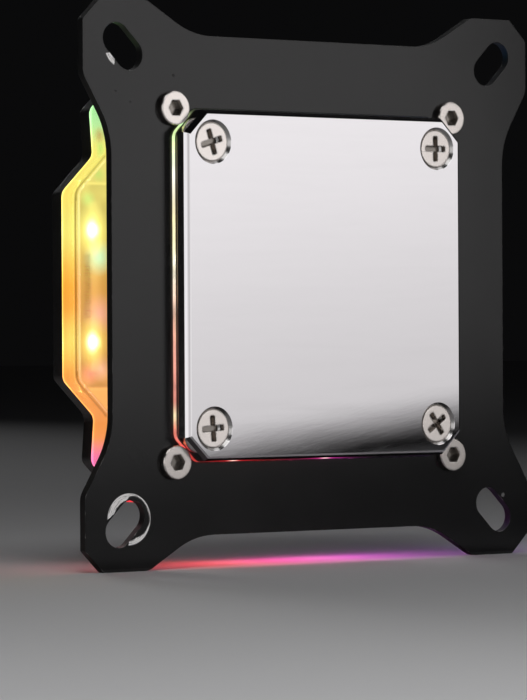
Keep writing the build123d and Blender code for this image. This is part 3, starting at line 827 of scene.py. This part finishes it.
class BLOCK_OT_lamps(bpy.types.Operator):
    """Finishes the light boards and the lamps on them"""

    bl_idname = "block.lamps"
    bl_label = "Finish the light boards"

    def execute(self, context):
        look = context.scene.block_finishes
        finish, g, shader = new_finish("white_board", {"Specular IOR Level": 0.4})
        weave = grain(g, g.millimetres(), 5.0, 0.4, 0.55)
        g.feed(shader["Base Color"], g.blend(weave["Height"], *BOARD_TONES))
        g.feed(shader["Roughness"], weave["Roughness"])
        g.feed(shader["Normal"], g.bumped(weave["Height"], 0.2, 0.02 * MM))
        dress(finish, *["led_board_" + side for side in SIDES])

        finish, g, shader = new_finish("lamp_case", {"Emission Strength": look.lamp_glow * 0.15})
        place = g.millimetres()
        speckle = grain(g, place, 4.0, 0.4, 0.6)
        g.feed(shader["Base Color"], g.blend(speckle["Height"], *CASE_TONES))
        g.feed(shader["Roughness"], speckle["Roughness"])
        g.feed(shader["Emission Color"], rainbow(g, place, look)["Lamp Hue"])
        dress(finish, *["leds_" + side for side in SIDES])
        return {"FINISHED"}


# Plain finishes of pieces inside the body: name, colour, lowest and highest roughness, scale, metal
INNER_FINISHES = {
    "led_jumpers": ("black_ribbon", (0.03, 0.03, 0.034), 0.35, 0.5, 6.0),
    "board_pads": ("black_foam", (0.02, 0.02, 0.02), 0.75, 0.95, 4.5),
    "plate_seal": ("black_rubber", (0.014, 0.014, 0.014), 0.5, 0.65, 3.0),
    "flow_gasket": ("grey_silicone", (0.25, 0.26, 0.27), 0.45, 0.6, 2.5),
    "jet_plate": ("jet_sheet", (0.55, 0.55, 0.56), 0.25, 0.4, 3.0, 1.0),
    "bracket_inserts": ("insert_brass", (0.72, 0.5, 0.2), 0.25, 0.4, 3.0, 1.0),
}


class BLOCK_OT_inside(bpy.types.Operator):
    """Finishes the ribbons, pads, seals, jet plate and inserts inside the body"""

    bl_idname = "block.inside"
    bl_label = "Finish the inside"

    def execute(self, context):
        for node, values in INNER_FINISHES.items():
            plain_finish(node, *values)
        return {"FINISHED"}


# A lamp's lens: radius, the dome's height as a share of it, and how deep its foot is sunk, in millimetres
LENS_RADIUS = 0.73
LENS_DOME = 0.16
LENS_SINK = 0.08
LENS_TONES = (0.9, 0.85, 0.6), (0.95, 0.9, 0.7)
LENS_GLOW = (1.0, 0.97, 0.85)
# Quarter turns from the right wing to each wing
WING_TURNS = {"right": 0, "top": 1, "left": 2, "bottom": 3}


class BLOCK_OT_lenses(bpy.types.Operator):
    """Models the domed lens of a lamp and sets one on each lamp"""

    bl_idname = "block.lenses"
    bl_label = "Add the lamp lenses"

    def execute(self, context):
        look = context.scene.block_finishes
        bpy.ops.object.select_all(action="DESELECT")
        bpy.ops.mesh.primitive_uv_sphere_add(segments=20, ring_count=12, radius=LENS_RADIUS * MM)
        first = context.object
        bpy.ops.object.mode_set(mode="EDIT")
        bpy.ops.mesh.select_all(action="SELECT")
        bpy.ops.mesh.bisect(plane_co=(0, 0, 0), plane_no=(0, 1, 0), use_fill=True, clear_outer=True)
        bpy.ops.mesh.select_all(action="SELECT")
        bpy.ops.transform.resize(value=(1.0, LENS_DOME, 1.0))
        bpy.ops.mesh.normals_make_consistent(inside=False)
        bpy.ops.object.mode_set(mode="OBJECT")
        bpy.ops.object.shade_smooth_by_angle(angle=math.radians(40))

        values = {"Emission Strength": look.lamp_glow, "Roughness": 0.2}
        finish, g, shader = new_finish("lamp_lens", values)
        place = g.millimetres()
        g.feed(shader["Emission Color"], g.blend(0.5, rainbow(g, place, look)["Lamp Hue"], LENS_GLOW))
        g.feed(shader["Base Color"], g.blend(g.noise(place, 3.0), *LENS_TONES))
        for side, turn in WING_TURNS.items():
            spin = Matrix.Rotation(-turn * math.pi / 2, 4, "Y")
            for number, step in enumerate((-LAMP_STEP, LAMP_STEP), 1):
                lens = first.copy()
                lens.data = first.data.copy()
                lens.name = "lamp_lens_%s_%d" % (side, number)
                context.collection.objects.link(lens)
                seat = Matrix.Translation((LAMP_LINE * MM, LAMP_LOW.y + LENS_SINK * MM, step * MM))
                lens.data.transform(spin @ seat)
                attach(lens, "root")
                dress(finish, lens.name)
        bpy.data.objects.remove(first)
        return {"FINISHED"}


# Plain finishes on the back, as for the inside, and the colour of scratches in the cover
BACK_FINISHES = {
    "led_socket": ("black_nylon", (0.02, 0.02, 0.021), 0.35, 0.5, 2.2),
    "socket_pins": ("gold_pin", (0.82, 0.58, 0.22), 0.18, 0.3, 6.0, 1.0),
}
SCRATCHED_COVER = (0.4, 0.4, 0.4)


class BLOCK_OT_back(bpy.types.Operator):
    """Finishes the back cover, the socket and its pins"""

    bl_idname = "block.back"
    bl_label = "Finish the back"

    def execute(self, context):
        look = context.scene.block_finishes
        finish, g, shader = new_finish("black_anodised", {"Specular IOR Level": 0.5})
        place = g.millimetres()
        speckle = grain(g, place, 3.2, 0.34, 0.46)
        marks = scratches(g, place, 8.0, 2.0, 0.2)
        tone = g.blend(g.fade(g.noise(place, 0.06), 0.3, 0.7), look.cover, shaded(look.cover, 1.4))
        g.feed(shader["Base Color"], g.blend(g.times(marks, 0.05), tone, SCRATCHED_COVER))
        g.feed(shader["Roughness"], speckle["Roughness"])
        g.feed(shader["Normal"], g.bumped(speckle["Height"], 0.25, normal=g.rounded(0.2)))
        dress(finish, "back_cover")
        for node, values in BACK_FINISHES.items():
            plain_finish(node, *values)
        return {"FINISHED"}


# Soft light panels: middle, what they face, width, height, lean in degrees and brightness
SOFTBOXES = {
    "key_softbox": ((0.2462, -0.4382, 0.1975), (-0.0488, -0.0357, 0.1975), 0.229, 0.50, -9.5, 1.0),
    "rim_softbox": ((-0.15, -0.49, 0.05), (-0.03, 0.0, 0.0), 0.09, 0.30, 0.0, 0.8),
    "top_softbox": ((-0.16, -0.25, 0.52), (0.0, 0.0, 0.0), 0.22, 0.22, 0.0, 1.3),
    "high_softbox": ((0.36, 0.0, 0.49), (0.0, 0.0, 0.0), 0.42, 0.42, 0.0, 1.1),
    "left_softbox": ((-0.5, -0.36, 0.05), (0.0, 0.0, 0.0), 0.25, 0.35, 0.0, 0.9),
    "side_softbox": ((-0.62, -0.055, 0.05), (0.0, 0.0, 0.0), 0.12, 0.36, 0.0, 0.93),
}
# Panels that are mirrored in the gloss and light nothing else
MIRRORED_ONLY = ("key_softbox", "high_softbox", "left_softbox", "side_softbox")
# Rays that pass through the panels and cards, and those that pass through the ones only mirrored
PASSING = ("camera", "shadow", "transmission")
PASSING_MIRRORED = (*PASSING, "diffuse")
PANEL_WHITE = (1.0, 0.985, 0.99)
# A panel's lower edge in its own height, where its light starts, and where it is at its full
PANEL_FOOT, PANEL_LIT, PANEL_FULL = -0.5, -0.468, -0.28
# Dark cards: middle across and along, turn in degrees, width and length
CARDS = {
    "long_card": ((0.171, -0.235), 36.1, 0.26, 0.52),
    "near_card": ((0.0, -0.002), 0.0, 0.2, 0.024),
}
CARD_TONES = (0.06, 0.06, 0.06), (0.09, 0.09, 0.09)
CARD_LIFT = 0.5
# Lights: place, target, size, spread in degrees
TOP_BEAM = ((-0.24, -0.52, 0.55), (-0.19, -0.43, FLOOR_LEVEL), 0.45, 80)
BACK_BEAM = ((0.35, 1.45, 0.30), (0.0, 0.02, 0.0), 0.5, 30)
FLOOR_SIZE = 8.0
STUDIO_AIR = (0.003, 0.003, 0.0032)
CAMERA_FRAME = 36.0


def new_plane(name, size, finish, passing=()):
    """A flat square at the origin that isn't part of the block, and that some rays pass through."""
    bpy.ops.object.select_all(action="DESELECT")
    bpy.ops.mesh.primitive_plane_add(size=size)
    plane = bpy.context.object
    plane.name = name
    plane.data.materials.append(finish)
    for rays in passing:
        setattr(plane, "visible_" + rays, False)
    return plane


def pale_floor(colour):
    """A matt floor under the block."""
    finish, g, shader = new_finish("pale_floor", {"Specular IOR Level": 0.0})
    place = g.millimetres()
    g.feed(shader["Base Color"], g.blend(g.noise(place, 0.004), colour, shaded(colour, 0.95)))
    g.feed(shader["Roughness"], grain(g, place, 0.8, 0.5, 0.62)["Roughness"])
    new_plane("floor", FLOOR_SIZE, finish).location = (0.0, 0.0, FLOOR_LEVEL)


def aimed(place, target, ahead):
    """The turn that points an axis from a place at a target."""
    return (Vector(target) - Vector(place)).to_track_quat(ahead, "Y")


def softbox(name, place, target, width, height, roll, strength):
    """A soft light panel, bright on the side that faces its target, that isn't seen itself."""
    finish = bpy.data.materials.new(name)
    finish.use_nodes = True
    tree = finish.node_tree
    tree.nodes.clear()
    g = Graph(tree)
    up = g.axes(g.own_place())["Y"]
    lit = g.times(g.fade(up, PANEL_FOOT, PANEL_LIT), g.fade(up, PANEL_FOOT, PANEL_FULL, 0.72, 1.0))
    facing_in = g.unless(g.node("ShaderNodeNewGeometry").outputs["Backfacing"])
    parts = {"Color": PANEL_WHITE, "Strength": g.times(lit, strength, facing_in)}
    shine = g.node("ShaderNodeEmission", parts)
    g.feed(g.node("ShaderNodeOutputMaterial").inputs["Surface"], shine.outputs[0])
    panel = new_plane(name, 1.0, finish, PASSING_MIRRORED if name in MIRRORED_ONLY else PASSING)
    facing = aimed(place, target, "Z").to_matrix().to_4x4() @ Matrix.Rotation(math.radians(roll), 4, "Z")
    panel.matrix_world = Matrix.Translation(place) @ facing @ Matrix.Diagonal((width, height, 1.0, 1.0))


def dark_cards():
    """Dark grey cards on the floor, seen only in reflections, which they keep dark low on the block."""
    finish, g, shader = new_finish("dark_card", {"Specular IOR Level": 0.0})
    felt = grain(g, g.millimetres(), 1.0, 0.8, 1.0)
    g.feed(shader["Base Color"], g.blend(felt["Height"], *CARD_TONES))
    g.feed(shader["Roughness"], felt["Roughness"])
    away = g.axes(g.vector("ABSOLUTE", g.own_place()))
    g.feed(shader["Alpha"], g.times(g.fade(away["X"], 0.5, 0.12), g.fade(away["Y"], 0.5, 0.3)))
    for name, (place, turn, width, length) in CARDS.items():
        card = new_plane(name, 1.0, finish, PASSING_MIRRORED)
        lie = Matrix.Translation((*place, FLOOR_LEVEL + CARD_LIFT * MM))
        lie = lie @ Matrix.Rotation(math.radians(turn), 4, "Z")
        card.matrix_world = lie @ Matrix.Diagonal((width, length, 1.0, 1.0))


def beam(name, power, place, target, size, spread):
    """A square soft light that shines mostly ahead, aimed at a place."""
    light = bpy.data.lights.new(name, "AREA")
    light.size = size
    light.spread = math.radians(spread)
    light.energy = power
    lamp = bpy.data.objects.new(name, light)
    lamp.location = place
    lamp.rotation_euler = aimed(place, target, "-Z").to_euler()
    lamp.visible_camera = False
    bpy.context.collection.objects.link(lamp)


def camera_pose(studio):
    """The camera's place and turn as a matrix."""
    yaw, pitch, roll = studio.camera_yaw, studio.camera_pitch, studio.camera_roll
    ahead = Vector((math.sin(yaw) * math.cos(pitch), math.cos(yaw) * math.cos(pitch), math.sin(pitch)))
    right = Vector((math.cos(yaw), -math.sin(yaw), 0.0))
    up = right.cross(ahead)
    leaned_right = math.cos(roll) * right + math.sin(roll) * up
    leaned_up = -math.sin(roll) * right + math.cos(roll) * up
    pose = Matrix((leaned_right, leaned_up, -ahead)).transposed().to_4x4()
    return Matrix.Translation(studio.camera_place) @ pose


class BLOCK_OT_studio(bpy.types.Operator):
    """Sets up the floor, the soft lights and the camera"""

    bl_idname = "block.studio"
    bl_label = "Set up the studio"

    def execute(self, context):
        studio = context.scene.block_studio
        pale_floor(studio.floor)
        for name, (*shape, strength) in SOFTBOXES.items():
            softbox(name, *shape, strength * studio.lights)
        dark_cards()
        beam("top_light", studio.top_light, *TOP_BEAM)
        beam("back_light", studio.back_light, *BACK_BEAM)
        world = bpy.data.worlds.new("studio_air")
        world.use_nodes = True
        world.node_tree.nodes["Background"].inputs["Color"].default_value = (*STUDIO_AIR, 1.0)
        context.scene.world = world
        context.scene.view_settings.view_transform = "Standard"
        camera_data = bpy.data.cameras.new("photo_camera")
        camera_data.sensor_width = CAMERA_FRAME
        camera_data.lens = studio.lens
        camera_data.clip_start, camera_data.clip_end = 0.01, 50.0
        camera = bpy.data.objects.new("photo_camera", camera_data)
        camera.matrix_world = camera_pose(studio)
        context.collection.objects.link(camera)
        context.scene.camera = camera
        return {"FINISHED"}


STEPS = [
    BLOCK_OT_plate, BLOCK_OT_screws, BLOCK_OT_bracket, BLOCK_OT_body, BLOCK_OT_lamps, BLOCK_OT_inside,
    BLOCK_OT_lenses, BLOCK_OT_back, BLOCK_OT_studio,
]


class BLOCK_PT_panel(bpy.types.Panel):
    """Lists the steps that dress the block"""

    bl_idname = "BLOCK_PT_panel"
    bl_label = "Water block"
    bl_space_type = "VIEW_3D"
    bl_region_type = "UI"
    bl_category = "Water block"

    def draw(self, context):
        for step in STEPS:
            self.layout.operator(step.bl_idname)
        for settings in (context.scene.block_finishes, context.scene.block_studio):
            box = self.layout.box()
            for name in settings.__annotations__:
                box.prop(settings, name)


CLASSES = [BlockFinishes, BlockStudio, *STEPS, BLOCK_PT_panel]


def register():
    for item in CLASSES:
        bpy.utils.register_class(item)
    bpy.types.Scene.block_finishes = bpy.props.PointerProperty(type=BlockFinishes)
    bpy.types.Scene.block_studio = bpy.props.PointerProperty(type=BlockStudio)


def unregister():
    del bpy.types.Scene.block_studio
    del bpy.types.Scene.block_finishes
    for item in reversed(CLASSES):
        bpy.utils.unregister_class(item)


def main():
    register()
    bpy.ops.block.plate()
    bpy.ops.block.screws()
    bpy.ops.block.bracket()
    bpy.ops.block.body()
    bpy.ops.block.lamps()
    bpy.ops.block.inside()
    bpy.ops.block.lenses()
    bpy.ops.block.back()
    bpy.ops.block.studio()


if __name__ == "__main__":
    main()
